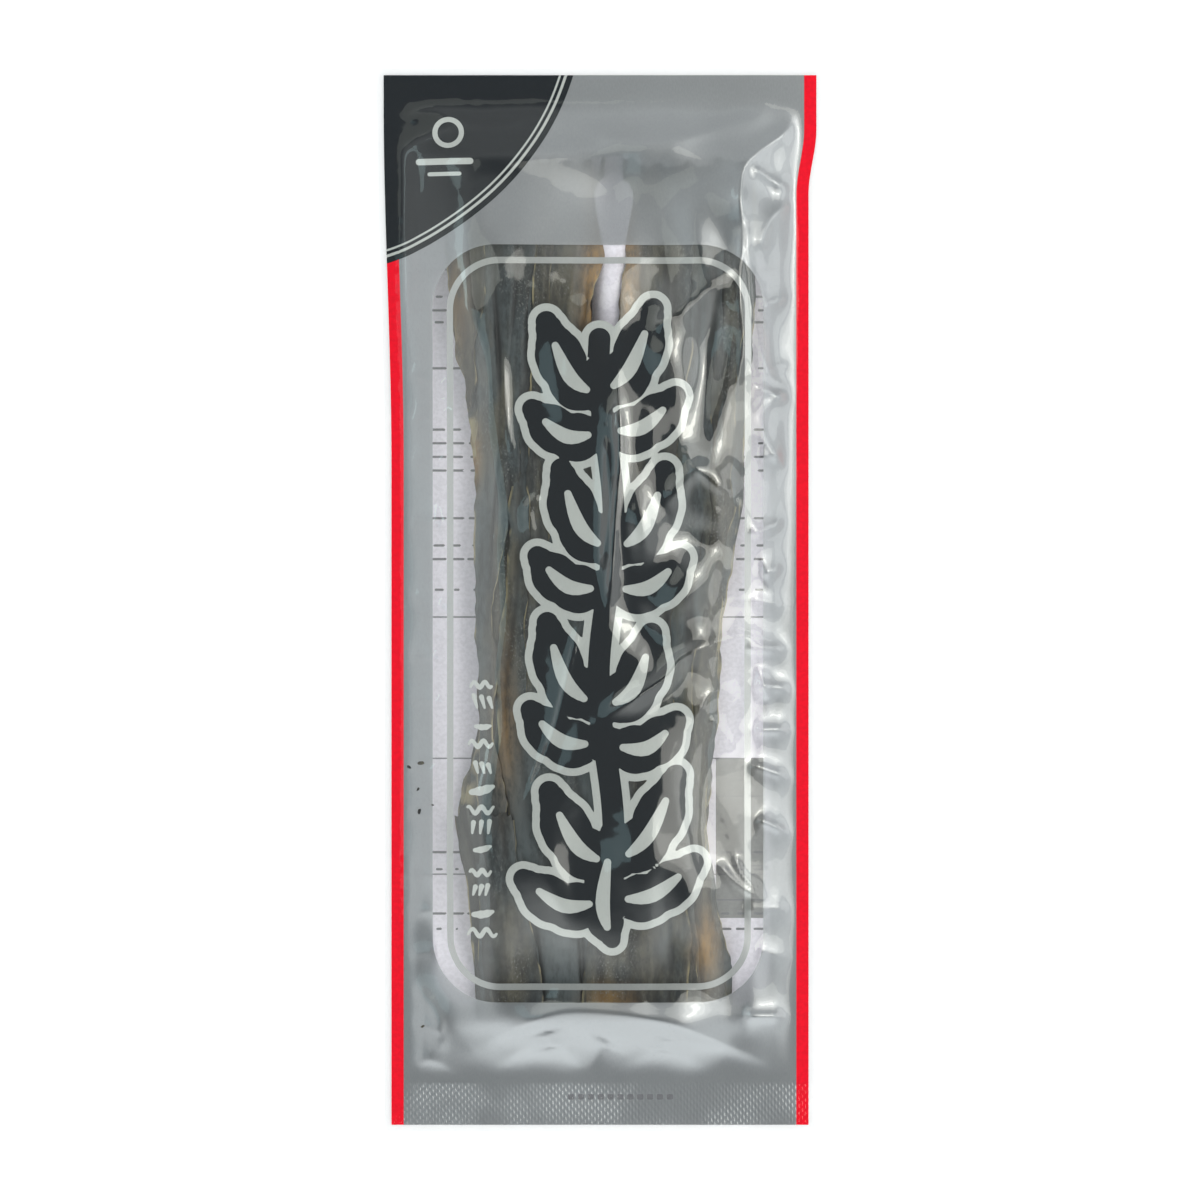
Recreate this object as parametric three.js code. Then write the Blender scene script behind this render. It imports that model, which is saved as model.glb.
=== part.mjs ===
// A sealed flat film pouch of dried kelp strips, lying on its back.
//
// Millimetres. +X runs across the pouch, +Y towards its top seal and +Z up from its flat back.
// The origin is under the middle of the pouch, on the surface that it lies on.
//
// The pouch is one closed body: a sheet of upper points laid over the bundle, a thin wall round
// the sealed rim and a flat back. upperHeight() gives the height of the film at any point.

import * as THREE from 'three';

// ---- The pouch's outline ----
const LENGTH = 312;
const TOP_WIDTH = 131;
const BODY_WIDTH = 126.4;
const FLANGE = 0.8;                 // the two films welded together, made thick enough to be a solid
const SIDE_SEAL = 5.6;
const TOP_SEAL = 8.2;
const BOTTOM_SEAL = 14;
const LEFT_TAPER = { from: 40, to: 146 };      // the stretch of Y over which each side widens
const RIGHT_SHOULDER = { from: 119, to: 138 };
const NOTCH = { y: 140.6, depth: 1.5, halfHeight: 0.8 };   // the tear notch in the right margin

// ---- The bundle of kelp strips under the film ----
const BUNDLE_HEIGHT = 12.4;
const BUNDLE_TOP = 131;
const BUNDLE_FOOT = -123;
const BUNDLE_LEFT = [   // where its sides run, as [y, x]: wide at the top, with a waist and a foot
  [-123, -36.7],
  [-88, -38.2],
  [-63, -41],
  [-35, -35.8],
  [24, -36],
  [59, -38.6],
  [91, -44.5],
];
const BUNDLE_RIGHT = [
  [-115, 38.7],
  [-66, 31.8],
  [-14, 35.5],
  [34, 41.7],
  [91, 45.4],
];
const EDGE_ROUND = 6;               // how far in from its edge the bundle reaches its full height
const EDGE_DROP = 2.6;              // and how much lower it is at that edge
const SAG = 0.3;                    // how hollow the film hangs between the bundle and a seal
const SEAL_BLEND = 6;               // how far in from a seal the film has its full relief

// Lengthwise folds of the strips, each at a fraction of the bundle's width.
const STRIP_FOLDS = [0.09, 0.22, 0.37, 0.52, 0.66, 0.8, 0.92];
const FOLD_HEIGHT = 1.1;
const FOLD_WIDTH = 2.6;
const FOLD_WANDER = { reach: 1.8, length: 190 };
const TOP_GAP = { x: 4, halfWidth: 4.5, depth: 2.2, from: 60, to: 95 };

// ---- The film's own creases: from one end to the other, with their height and half width ----
const CREASES = [
  // The shoulder fold: an upper arm, a spine and a lower arm.
  { from: [58, 147], to: [42, 128], height: 1.5, width: 3 },
  { from: [42, 128], to: [42, 114], height: 1.3, width: 3 },
  { from: [42, 114], to: [57, 105], height: 1.5, width: 3 },
  // Pinches where the right margin is drawn in.
  { from: [59, 66], to: [46, 76], height: 1.2, width: 2.4 },
  { from: [59, 44], to: [47, 60], height: 1.2, width: 2.4 },
  { from: [58, -28], to: [38, -6], height: 1.4, width: 3 },
  // Folds below the bundle, and a wave above it.
  { from: [0, -125], to: [57, -141], height: 1.8, width: 3.4 },
  { from: [-56, -137], to: [-36, -126], height: 1.2, width: 3 },
  { from: [-8, 142], to: [38, 133], height: 1.2, width: 3.4 },
];

// ---- How finely the film is cut up ----
const COLUMNS = 28;                 // between the two side seals
const ROW_STEP = 4.2;
const ROW_CLEARANCE = 1.1;          // an even row closer than this to a named row is left out

const SILVER_FILM = { color: 0xa6a9ad, roughness: 0.34, metalness: 0.75 };

function smoothstep(t) {
  const clamped = THREE.MathUtils.clamp(t, 0, 1);
  return clamped * clamped * (3 - 2 * clamped);
}

// A smooth line through [y, x] stations, level before the first and after the last.
function throughStations(stations, y) {
  const next = stations.findIndex((station) => station[0] > y);
  if (next === 0) return stations[0][1];
  if (next < 0) return stations[stations.length - 1][1];
  const [y0, x0] = stations[next - 1];
  const [y1, x1] = stations[next];
  return x0 + (x1 - x0) * smoothstep((y - y0) / (y1 - y0));
}

function sideWidth(y, taper) {
  const share = smoothstep((y - taper.from) / (taper.to - taper.from));
  return THREE.MathUtils.lerp(BODY_WIDTH / 2, TOP_WIDTH / 2, share);
}

function leftEdge(y) {
  return -sideWidth(y, LEFT_TAPER);
}

function rightEdge(y) {
  const cut = Math.abs(y - NOTCH.y) < NOTCH.halfHeight / 2 ? NOTCH.depth : 0;
  return sideWidth(y, RIGHT_SHOULDER) - cut;
}

// 1 on the bundle, falling to 0 at the seal in a slightly hollow line.
function filmFall(distanceOut, distanceToSeal) {
  const t = THREE.MathUtils.clamp(distanceOut / distanceToSeal, 0, 1);
  return (1 - t) * (1 - SAG * t);
}

function lengthwiseFall(y) {
  if (y > BUNDLE_TOP) return filmFall(y - BUNDLE_TOP, LENGTH / 2 - TOP_SEAL - BUNDLE_TOP);
  if (y < BUNDLE_FOOT) return filmFall(BUNDLE_FOOT - y, BUNDLE_FOOT - BOTTOM_SEAL + LENGTH / 2);
  return 1;
}

function crosswiseFall(x, left, right, y) {
  if (x < left) return filmFall(left - x, left - leftEdge(y) - SIDE_SEAL);
  if (x > right) return filmFall(x - right, sideWidth(y, RIGHT_SHOULDER) - SIDE_SEAL - right);
  return 1;
}

// How much lower than its crown the bundle is, from its rounded edges and the gap at its top.
function bundleDrop(x, y, left, right) {
  const inside = Math.min(x - left, right - x);
  const edge = EDGE_DROP * (1 - smoothstep(inside / EDGE_ROUND));
  const open = smoothstep((y - TOP_GAP.from) / (TOP_GAP.to - TOP_GAP.from));
  const across = Math.exp(-(((x - TOP_GAP.x) / TOP_GAP.halfWidth) ** 2));
  return edge + TOP_GAP.depth * open * across;
}

function foldRelief(x, y, left, right) {
  let relief = 0;
  STRIP_FOLDS.forEach((share, index) => {
    const wander = FOLD_WANDER.reach * Math.sin((2 * Math.PI * y) / FOLD_WANDER.length + index);
    const centre = THREE.MathUtils.lerp(left, right, share) + wander;
    relief += Math.exp(-(((x - centre) / FOLD_WIDTH) ** 2));
  });
  return FOLD_HEIGHT * relief;
}

function creaseRelief(x, y) {
  let relief = 0;
  for (const { from, to, height, width } of CREASES) {
    const dx = to[0] - from[0];
    const dy = to[1] - from[1];
    const along = ((x - from[0]) * dx + (y - from[1]) * dy) / (dx * dx + dy * dy);
    const t = THREE.MathUtils.clamp(along, 0, 1);
    const away = Math.hypot(x - from[0] - t * dx, y - from[1] - t * dy);
    relief += height * Math.exp(-((away / width) ** 2));
  }
  return relief;
}

function insideSeals(x, y) {
  const left = x - leftEdge(y) - SIDE_SEAL;
  const right = sideWidth(y, RIGHT_SHOULDER) - SIDE_SEAL - x;
  const top = LENGTH / 2 - TOP_SEAL - y;
  const bottom = y + LENGTH / 2 - BOTTOM_SEAL;
  return smoothstep(Math.min(left, right, top, bottom) / SEAL_BLEND);
}

function upperHeight(x, y) {
  const left = throughStations(BUNDLE_LEFT, y);
  const right = throughStations(BUNDLE_RIGHT, y);
  const fall = lengthwiseFall(y) * crosswiseFall(x, left, right, y);
  const crown = BUNDLE_HEIGHT - bundleDrop(x, y, left, right) + foldRelief(x, y, left, right);
  return FLANGE + insideSeals(x, y) * (fall * crown + creaseRelief(x, y));
}

// Even rows from the bottom edge to the top, with rows of their own at the seals and the notch.
function rowPositions() {
  const named = [
    -LENGTH / 2,
    -LENGTH / 2 + BOTTOM_SEAL,
    NOTCH.y - NOTCH.halfHeight,
    NOTCH.y,
    NOTCH.y + NOTCH.halfHeight,
    LENGTH / 2 - TOP_SEAL,
    LENGTH / 2,
  ];
  const rows = [...named];
  const steps = Math.round(LENGTH / ROW_STEP);
  for (let step = 1; step < steps; step += 1) {
    const y = -LENGTH / 2 + (step * LENGTH) / steps;
    if (named.every((other) => Math.abs(other - y) > ROW_CLEARANCE)) rows.push(y);
  }
  return rows.sort((a, b) => a - b);
}

// One column on each edge, and even columns from seal to seal.
function columnPositions(y) {
  const first = leftEdge(y) + SIDE_SEAL;
  const last = sideWidth(y, RIGHT_SHOULDER) - SIDE_SEAL;
  const columns = [leftEdge(y)];
  for (let step = 0; step <= COLUMNS; step += 1) {
    columns.push(THREE.MathUtils.lerp(first, last, step / COLUMNS));
  }
  columns.push(rightEdge(y));
  return columns;
}

function pouchGeometry() {
  const positions = [];
  const triangles = [];
  const addPoint = (x, y, z) => positions.push(x, y, z) / 3 - 1;
  const addQuad = (a, b, c, d) => triangles.push(a, b, c, a, c, d);

  // The upper sheet.
  const rows = rowPositions();
  const upper = rows.map((y) => columnPositions(y).map((x) => addPoint(x, y, upperHeight(x, y))));
  const lastRow = rows.length - 1;
  const lastColumn = upper[0].length - 1;
  for (let row = 0; row < lastRow; row += 1) {
    for (let column = 0; column < lastColumn; column += 1) {
      const near = upper[row];
      const far = upper[row + 1];
      addQuad(near[column], near[column + 1], far[column + 1], far[column]);
    }
  }

  // The rim, walked anticlockwise seen from above, with a point of the back under each point.
  const rim = [
    ...upper[0],
    ...upper.slice(1).map((row) => row[lastColumn]),
    ...upper[lastRow].slice(0, -1).reverse(),
    ...upper.slice(1, -1).map((row) => row[0]).reverse(),
  ];
  const below = new Map(
    rim.map((point) => [point, addPoint(positions[3 * point], positions[3 * point + 1], 0)]),
  );
  rim.forEach((point, index) => {
    const next = rim[(index + 1) % rim.length];
    addQuad(point, below.get(point), below.get(next), next);
  });

  // The flat back: a strip from edge to edge for each row, and a fan along each end.
  const back = (row, column) => below.get(upper[row][column]);
  for (let row = 1; row < lastRow - 1; row += 1) {
    addQuad(back(row, 0), back(row + 1, 0), back(row + 1, lastColumn), back(row, lastColumn));
  }
  for (let column = 0; column < lastColumn; column += 1) {
    triangles.push(back(1, 0), back(0, column + 1), back(0, column));
    triangles.push(back(lastRow - 1, 0), back(lastRow, column), back(lastRow, column + 1));
  }
  triangles.push(back(1, 0), back(1, lastColumn), back(0, lastColumn));
  triangles.push(back(lastRow - 1, 0), back(lastRow, lastColumn), back(lastRow - 1, lastColumn));

  const geometry = new THREE.BufferGeometry();
  geometry.setAttribute('position', new THREE.Float32BufferAttribute(positions, 3));
  geometry.setIndex(triangles);
  geometry.computeVertexNormals();
  return geometry;
}

const pouch = new THREE.Mesh(pouchGeometry(), new THREE.MeshStandardMaterial(SILVER_FILM));
pouch.name = 'pouch';

const kelpPouch = new THREE.Group();
kelpPouch.add(pouch);

export default kelpPouch;
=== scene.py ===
"""Looks of the kelp pouch: a clear front film with ink under it, the kelp strips and the back film.

The pouch lies on its back, +Y towards its top seal, and the camera looks straight down on it.
Shapes are worked out in millimetres in the CAD frame, and become metres as each mesh is made.
"""

import math

import bmesh
import bpy
import numpy as np
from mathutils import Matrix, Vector
from mathutils.geometry import delaunay_2d_cdt


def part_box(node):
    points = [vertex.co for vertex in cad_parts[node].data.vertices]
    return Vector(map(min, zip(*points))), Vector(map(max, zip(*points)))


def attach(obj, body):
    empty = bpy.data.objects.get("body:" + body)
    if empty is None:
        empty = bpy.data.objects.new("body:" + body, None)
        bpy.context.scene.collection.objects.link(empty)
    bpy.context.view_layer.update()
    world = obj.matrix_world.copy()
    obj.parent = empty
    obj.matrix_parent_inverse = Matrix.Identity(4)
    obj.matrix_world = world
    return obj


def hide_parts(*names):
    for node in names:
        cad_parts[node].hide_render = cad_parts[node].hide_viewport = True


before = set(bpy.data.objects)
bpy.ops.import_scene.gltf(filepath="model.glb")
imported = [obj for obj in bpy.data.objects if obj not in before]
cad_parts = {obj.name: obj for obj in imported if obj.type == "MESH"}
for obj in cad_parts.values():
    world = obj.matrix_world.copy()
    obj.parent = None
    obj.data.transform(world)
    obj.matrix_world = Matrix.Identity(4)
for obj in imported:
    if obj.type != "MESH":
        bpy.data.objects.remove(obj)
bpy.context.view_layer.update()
_, POUCH_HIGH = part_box("pouch")

MM = 0.001
BODY = "root"
FAR = 1e9  # a distance beyond every shape

# ---- The pouch's outline, in millimetres ----
HALF_LENGTH = POUCH_HIGH[1] / MM
TOP_HALF_WIDTH = POUCH_HIGH[0] / MM
BODY_HALF_WIDTH = TOP_HALF_WIDTH - 2.3
SIDE_SEAL = 5.6
TOP_SEAL = 8.2
BOTTOM_SEAL = 14.0
LEFT_TAPER = (40, 146)  # the stretch of Y over which each side widens
RIGHT_SHOULDER = (119, 138)
NOTCH = {"y": 140.6, "depth": 1.5, "half_height": 0.7}
RIM_HEIGHT = 0.45
BACK_HEIGHT = 0.1

# ---- The bundle of kelp under the film, and how the film lies over it ----
BUNDLE_HEIGHT = 12.4
BUNDLE_TOP = 131
BUNDLE_FOOT = -123
BUNDLE_LEFT = [  # its two sides, as (y, x) stations
    (-123, -36.7), (-88, -38.2), (-63, -41), (-35, -35.8), (24, -36), (59, -38.6), (91, -44.5)
]
BUNDLE_RIGHT = [(-115, 38.7), (-66, 31.8), (-14, 35.5), (34, 41.7), (91, 45.4)]
EDGE_ROUND = 7  # how far in from its edge the bundle reaches its full height
EDGE_DROP = 2.7  # and how much lower it is at that edge
END_LENGTH = 48  # how far in from each end it reaches its full height
END_DROP = 0.54  # and the share of its height that is missing at the end
TENT = {"ridge": 5, "fall": 2.3}  # how far the film falls from a ridge to the bundle's right side
SAG = 0.3  # how hollow the film hangs between the bundle and a side seal
END_SAG = 0.92  # and between the bundle and an end seal
SEAL_FLAT = 1.6  # a flat strip beside each seal
SIDE_BLEND = 5.5  # how far in from a side seal the film has its full relief
END_BLEND = 14
SEAL_WAVER = 2.2  # how unevenly that relief starts


# ---- Small mathematics ----
def smoothstep(t):
    t = np.clip(t, 0, 1)
    return t * t * (3 - 2 * t)


def through_stations(stations, y):
    """A smooth line through (y, x) stations, level before the first and after the last."""
    ys, xs = np.array(stations, dtype=float).T
    after = np.clip(np.searchsorted(ys, y), 1, len(ys) - 1)
    share = smoothstep((y - ys[after - 1]) / (ys[after] - ys[after - 1]))
    return xs[after - 1] + (xs[after] - xs[after - 1]) * share


def side_width(y, taper):
    share = smoothstep((y - taper[0]) / (taper[1] - taper[0]))
    return BODY_HALF_WIDTH + (TOP_HALF_WIDTH - BODY_HALF_WIDTH) * share


def left_edge(y):
    return -side_width(y, LEFT_TAPER)


def right_edge(y):
    return side_width(y, RIGHT_SHOULDER)


def turned(x, y, degrees):
    angle = math.radians(degrees)
    return x * math.cos(angle) - y * math.sin(angle), x * math.sin(angle) + y * math.cos(angle)


def near_line(x, y, points, reach):
    """Which places lie within reach of the box round a line of points."""
    xs, ys = np.array(points).T
    beside = (x > xs.min() - reach) & (x < xs.max() + reach)
    return beside & (y > ys.min() - reach) & (y < ys.max() + reach)


def from_segment(x, y, start, end):
    """How far along a segment each place lies, from 0 to 1, and how far away from it."""
    dx = end[0] - start[0]
    dy = end[1] - start[1]
    t = np.clip(((x - start[0]) * dx + (y - start[1]) * dy) / math.dist(start, end) ** 2, 0, 1)
    return t, np.hypot(x - start[0] - t * dx, y - start[1] - t * dy)


# ---- The shape of the front film ----
SHARP = 0.3  # how rounded the crest of a crease is, in millimetres
SOFT = 1.6
CREASE_REACH = 5  # in widths of the crease
CREASE_END = {"taper": 0.22, "height": 0.15}  # shares of its length and of its height


def crease(x, y, points, height, width, crest=SHARP):
    """A raised fold along a line of points, dying away at both ends. A small crest makes it sharp."""
    close = near_line(x, y, points, CREASE_REACH * width)
    px, py = x[close], y[close]
    nearest = np.full(px.shape, FAR)
    along = np.zeros(px.shape)
    lengths = [math.dist(a, b) for a, b in zip(points, points[1:])]
    walked = 0.0
    for start, end, length in zip(points, points[1:], lengths):
        t, away = from_segment(px, py, start, end)
        closer = away < nearest
        nearest = np.where(closer, away, nearest)
        along = np.where(closer, (walked + t * length) / sum(lengths), along)
        walked += length
    taper = CREASE_END["taper"]
    ends = smoothstep(along / taper) * smoothstep((1 - along) / taper)
    profile = np.exp(-(np.hypot(nearest, crest) - crest) / width)
    fade = smoothstep(CREASE_REACH - nearest / width)
    relief = np.zeros(np.shape(x))
    relief[close] = height * (CREASE_END["height"] + (1 - CREASE_END["height"]) * ends) * profile * fade
    return relief


def swell(x, y, centre, radii, height, turn=0.0):
    """A soft round rise, or a hollow where the height is negative. The turn is in degrees."""
    across, along = turned(x - centre[0], y - centre[1], -turn)
    return height * np.exp(-((across / radii[0]) ** 2) - (along / radii[1]) ** 2)


def curve_through(points, steps=6):
    """Points of a smooth curve through a few points (Catmull-Rom)."""
    padded = [points[0], *points, points[-1]]
    curve = []
    for p0, p1, p2, p3 in zip(padded, padded[1:], padded[2:], padded[3:]):
        for step in range(steps):
            t = step / steps
            curve.append(tuple(catmull(t, *coordinate) for coordinate in zip(p0, p1, p2, p3)))
    curve.append(points[-1])
    return curve


def catmull(t, a, b, c, d):
    cubic = 3 * b - a - 3 * c + d
    square = 2 * a - 5 * b + 4 * c - d
    return 0.5 * (2 * b + (c - a) * t + square * t**2 + cubic * t**3)


def lattice_noise(x, y, cell, seed):
    """Smooth noise from -1 to 1, with one random value at each corner of a cell."""
    table = np.random.default_rng(seed).uniform(-1, 1, (128, 128))
    u = x / cell[0] + 64
    v = y / cell[1] + 64
    i, j = np.floor(u).astype(int), np.floor(v).astype(int)
    return blended(table, i, j, smoothstep(u - i), smoothstep(v - j))


def blended(table, i, j, u, v):
    """A table read between four of its values."""
    low = table[j, i] * (1 - u) + table[j, i + 1] * u
    high = table[j + 1, i] * (1 - u) + table[j + 1, i + 1] * u
    return low * (1 - v) + high * v


def crumple(x, y, cell, seed, crest):
    """Irregular creases between smooth hollows: noise folded at zero. A small crest makes them sharp."""
    bend_cell = (2.1 * cell[0], 1.3 * cell[1])
    bend = 0.45 * cell[0] * lattice_noise(x, y, bend_cell, seed + 1)
    return 1 - np.hypot(lattice_noise(x + bend, y + bend, cell, seed), crest)


# Named folds of the film: the points that each runs through, its height and width, and its crest
# where that isn't sharp.
FOLDS = [
    # The shoulder fold at the top right, with a second line inside it.
    ([(59.5, 147.6), (54.9, 138), (46.4, 131), (42, 126), (41, 117), (42, 108)], 2.3, 3.2),
    ([(58, 119), (51, 122.5), (43.5, 127)], 1.5, 2.4),
    ([(58, 117), (50.5, 112), (46, 101)], 1.6, 2.4),
    ([(59.5, 145), (58.6, 131), (58.4, 119)], 1.0, 2.0),
    # Two long lines down the right of the window, which part at the margin.
    ([(41.4, 112), (41.1, 88.3), (41.7, 73.7), (39.6, 60.5)], 1.2, 1.8),
    ([(42.6, 112), (44.6, 88.3), (46.7, 76.6), (50.2, 65.4), (58.4, 61.3)], 1.1, 1.8),
    # The cushion between two pinches of the right margin.
    ([(58.4, 63.1), (51, 58.4), (47.3, 54.6), (47.5, 48.7), (51, 42.9), (57.5, 34.9)], 1.4, 2.4),
    # The star over the right of the bundle.
    ([(42, 101), (33, 92), (25, 85), (14, 78)], 1.8, 4.5, SOFT),
    ([(17.9, 26.1), (29, 38.4), (40, 29.6)], 1.3, 2.6, SOFT),
    ([(24, 47), (28, 38.4), (38, 30)], 0.9, 2.2),
    # The long line down the middle, with a second beside it.
    ([(5, 66), (5.8, 42), (4.5, 26), (3.4, 6.5), (2, -8)], 1.5, 2.2),
    ([(1.6, 50), (2.4, 30), (0.5, 6)], 0.6, 1.6),
    # The band that climbs from the middle to the right margin at the waist.
    (
        [(-0.3, -35.2), (18.5, -22.9), (24, -16.7), (35.2, -12), (42.9, -11.2), (52.2, -16.4)],
        1.7, 2.6, 1.0,
    ),
    # Crescents beside the waist and low on the right.
    ([(27.9, -35.5), (31.4, -28.2), (35.5, -26.1), (40.8, -28.8)], 0.8, 1.6),
    ([(32, -33.5), (38.2, -42.3)], 0.8, 1.2),
    ([(45.8, -18.5), (49.6, -29.9)], 0.8, 1.4),
    ([(33.8, -76), (40.8, -83.6), (49, -88)], 1.1, 1.6),
    ([(39.3, -74), (41.4, -79.8), (47, -85.7)], 0.8, 1.2),
    # Thin tension lines over the left of the bundle.
    ([(-28.2, 71), (-27.3, 53.1), (-25.8, 44.9), (-24, 39.3)], 0.35, 0.9),
    ([(-5, -2.6), (-8.5, -17.6), (-13.5, -38.4), (-22.6, -61)], 0.4, 0.9),
    ([(-39.9, -71.9), (-35.8, -83)], 0.4, 1.0),
    ([(-17, 31.4), (-20.5, 27.3), (-20.5, 22), (-18.8, 17.9)], 0.5, 1.6, 0.6),
    # Folds below the bundle.
    ([(-35, -131), (-22, -124), (-8, -120), (16, -122.5), (36, -130), (58, -140)], 1.7, 4.0, 1.0),
    ([(-34, -139), (-24, -133), (-14.5, -130.5), (-8, -134), (-3, -140)], 1.0, 4.0, 1.0),
    ([(4, -139), (12, -134), (18.5, -131.5), (27, -135), (34, -140)], 0.9, 4.0, 1.0),
    ([(-14.5, -132), (-16, -126)], 0.8, 2.6, SOFT),
    ([(18.5, -133), (19.5, -128)], 0.6, 2.2, SOFT),
    ([(-3, -141), (-1, -134), (2, -128)], -1.5, 3.0, SOFT),
    ([(-57, -137), (-50, -135), (-43.5, -138), (-45, -142), (-52, -142)], 1.1, 1.8, 0.8),
    ([(-58, -112), (-50, -118), (-46, -128), (-50, -134)], 0.8, 2.6, 1.0),
    # The wave above the bundle.
    ([(-8.3, 140.2), (2.1, 135.9), (12, 134.0), (25.8, 136), (41.5, 141), (56, 147)], 1.9, 4.0, SOFT),
    ([(-60, 141), (-48, 143.4), (-34, 139.6), (-20, 142), (-8.3, 140.2)], 1.7, 3.4, 0.8),
    ([(-59, 134), (-55, 121), (-57, 104)], 0.7, 2.4, 0.8),
]


PINCHES = {"from": -122.0, "to": 100, "pitch": 15, "start": 58.2, "crest": 0.5}
PINCH_SIDES = ((1, 15, 1.5), (-1, 14, 0.7))  # each side, with the length and height of its pinches


def margin_pinches():
    """Short creases that run in from each side seal, strong on the right and faint on the left."""
    rng = np.random.default_rng(4)
    pinches = []
    for side, reach, height in PINCH_SIDES:
        y = PINCHES["from"]
        while y < PINCHES["to"]:
            length = reach * rng.uniform(0.7, 1.15)
            start = (side * PINCHES["start"], y)
            end = (side * (PINCHES["start"] - length), y + rng.uniform(-6, 6))
            pinch_height = height * rng.uniform(0.5, 1.2)
            pinches.append(([start, end], pinch_height, rng.uniform(1.8, 3.4), PINCHES["crest"]))
            y += PINCHES["pitch"] * rng.uniform(0.6, 1.4)
    return pinches


CREASES = [(curve_through(points), *shape) for points, *shape in FOLDS] + margin_pinches()

SWELLS = [
    # Centre, radii, height and turn: where the film stands off or is drawn down.
    ((50, 119), (5, 7), -1.2),
    ((31.5, 72), (5.2, 19), -2.4, -6),
    ((20, 70), (6, 9), 1.9, 20),
    ((52, 50), (6, 7), 1.2),
    ((50, 5), (6, 18), 0.8),
    ((12, 22), (5, 10), 2.3, 8),
    ((29, 18), (9, 6), -1.9, -20),
    ((25, 3), (6, 10), 1.8, -25),
    ((12, -8), (5, 9), -1.5, 30),
    ((30, -52), (6, 14), -1.7),
    ((14, -74), (9, 14), 1.4, 12),
    ((20, -95), (4, 12), -0.9, 10),
    ((45, -62), (6, 20), 0.9),
    ((-20, -20), (7, 15), -0.5),
    ((-30, 92), (5, 12), 0.5),
    ((22, -124), (20, 6), 1.2),
    ((-38, -134), (18, 6), 0.8),
    ((10, 143), (26, 5), 0.8),
    ((-50, 136), (9, 6), -0.5),
    ((5, 117), (20, 18), -2.4),
    ((-42, 112), (28, 15), 2.0),
    ((44, 112), (26, 14), 2.2),
]
CRUMPLES = [
    # Cell, seed, crest and height of each layer of irregular creases.
    ((17, 34), 21, 0.26, 2.9),
    ((9, 23), 33, 0.08, 0.3),
]


def film_fall(distance_out, distance_to_seal, sag):
    t = np.clip(distance_out / distance_to_seal, 0, 1)
    return (1 - t) * (1 - sag * t)


def bundle_height(x, y):
    """The film pulled straight over the bundle, with no creases."""
    left = through_stations(BUNDLE_LEFT, y)
    right = through_stations(BUNDLE_RIGHT, y)
    margin = SIDE_SEAL + SEAL_FLAT
    above = film_fall(y - BUNDLE_TOP, HALF_LENGTH - TOP_SEAL - SEAL_FLAT - BUNDLE_TOP, END_SAG)
    below = film_fall(BUNDLE_FOOT - y, BUNDLE_FOOT - BOTTOM_SEAL - SEAL_FLAT + HALF_LENGTH, END_SAG)
    beside_left = film_fall(left - x, left - left_edge(y) - margin, SAG)
    beside_right = film_fall(x - right, right_edge(y) - margin - right, SAG)
    edge = EDGE_DROP * (1 - smoothstep(np.minimum(x - left, right - x) / EDGE_ROUND))
    slope = TENT["fall"] * smoothstep((x - TENT["ridge"]) / (right - TENT["ridge"]))
    from_end = np.minimum(BUNDLE_TOP - y, y - BUNDLE_FOOT)
    full = 1 - END_DROP * (1 - smoothstep(from_end / END_LENGTH))
    return above * below * beside_left * beside_right * full * (BUNDLE_HEIGHT - edge - slope)


def inside_seals(x, y):
    sides = np.minimum(x - left_edge(y), right_edge(y) - x) - SIDE_SEAL
    ends = np.minimum(HALF_LENGTH - TOP_SEAL - y, y + HALF_LENGTH - BOTTOM_SEAL)
    waver = SEAL_WAVER * np.abs(lattice_noise(x, y, (11, 40), 3))
    return smoothstep((sides - waver) / SIDE_BLEND) * smoothstep((ends - waver) / END_BLEND)


def crumple_strength(x, y):
    """The film is crumpled on the right of the bundle and drawn smooth on the left and at the top."""
    left = 0.5 + 0.3 * smoothstep((-30 - y) / 30)
    right = 1 - 0.4 * smoothstep((x - 44) / 6)
    across = smoothstep((x + 8) / 22)
    calm_top = 1 - 0.6 * smoothstep((y - 92) / 20)
    return (left * (1 - across) + right * across) * calm_top


def film_relief(x, y):
    relief = sum(crease(x, y, *fold) for fold in CREASES)
    relief += sum(swell(x, y, *rise) for rise in SWELLS)
    folded = sum(height * (crumple(x, y, *layer) - 0.6) for *layer, height in CRUMPLES)
    return relief + crumple_strength(x, y) * folded


def smoothed(height, times):
    """A grid of heights, each blended with its neighbours again and again."""
    for _ in range(times):
        for axis in (0, 1):
            around = np.roll(height, 1, axis) + np.roll(height, -1, axis)
            height = 0.5 * height + 0.25 * around
    return height


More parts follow.
